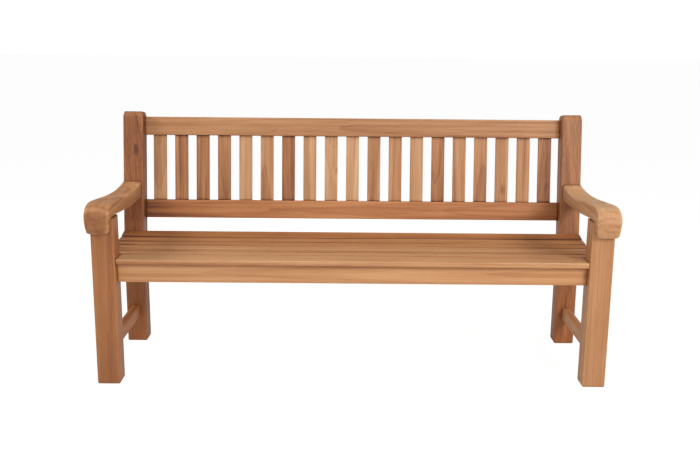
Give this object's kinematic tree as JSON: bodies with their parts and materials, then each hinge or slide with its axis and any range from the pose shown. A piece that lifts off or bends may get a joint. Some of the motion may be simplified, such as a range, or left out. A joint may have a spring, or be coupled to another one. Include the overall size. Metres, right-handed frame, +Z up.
{
  "type": "garden bench",
  "caption": "Teak garden bench with scroll arms, an upright slatted back and a dished slatted seat on a pegged mortise and tenon frame.",
  "frame": {"origin": "on the ground, at the middle of the bench's bounding box seen from above", "axes": "+X along the bench, to the right of somebody who faces it, +Y from the front towards the back, +Z up"},
  "size_m": [1.822, 0.6562, 0.9123],
  "materials": {
    "teak": "planed and fine sanded solid teak, unfinished, warm honey brown",
    "teak_plugs": "round teak pegs and plugs sanded flush",
    "stainless_steel": "bright turned screws, hidden under plugs"
  },
  "bodies": {
    "root": {"front_leg_left": "teak", "front_leg_right": "teak", "back_leg_left": "teak", "back_leg_right": "teak", "arm_left": "teak", "arm_right": "teak", "top_rail": "teak", "lower_back_rail": "teak", "back_slat_01": "teak", "back_slat_02": "teak", "back_slat_03": "teak", "back_slat_04": "teak", "back_slat_05": "teak", "back_slat_06": "teak", "back_slat_07": "teak", "back_slat_08": "teak", "back_slat_09": "teak", "back_slat_10": "teak", "back_slat_11": "teak", "back_slat_12": "teak", "back_slat_13": "teak", "back_slat_14": "teak", "back_slat_15": "teak", "back_slat_16": "teak", "back_slat_17": "teak", "back_slat_18": "teak", "back_slat_19": "teak", "front_seat_rail": "teak", "back_seat_rail": "teak", "side_seat_rail_left": "teak", "side_seat_rail_right": "teak", "seat_support_left": "teak", "seat_support_right": "teak", "front_seat_slat": "teak", "seat_slat_2": "teak", "seat_slat_3": "teak", "seat_slat_4": "teak", "seat_slat_5": "teak", "seat_slat_6": "teak", "seat_slat_7": "teak", "stretcher_left": "teak", "stretcher_right": "teak", "joint_pegs": "teak_plugs", "seat_screws": "stainless_steel", "seat_plugs": "teak_plugs"}
  },
  "joints": []
}
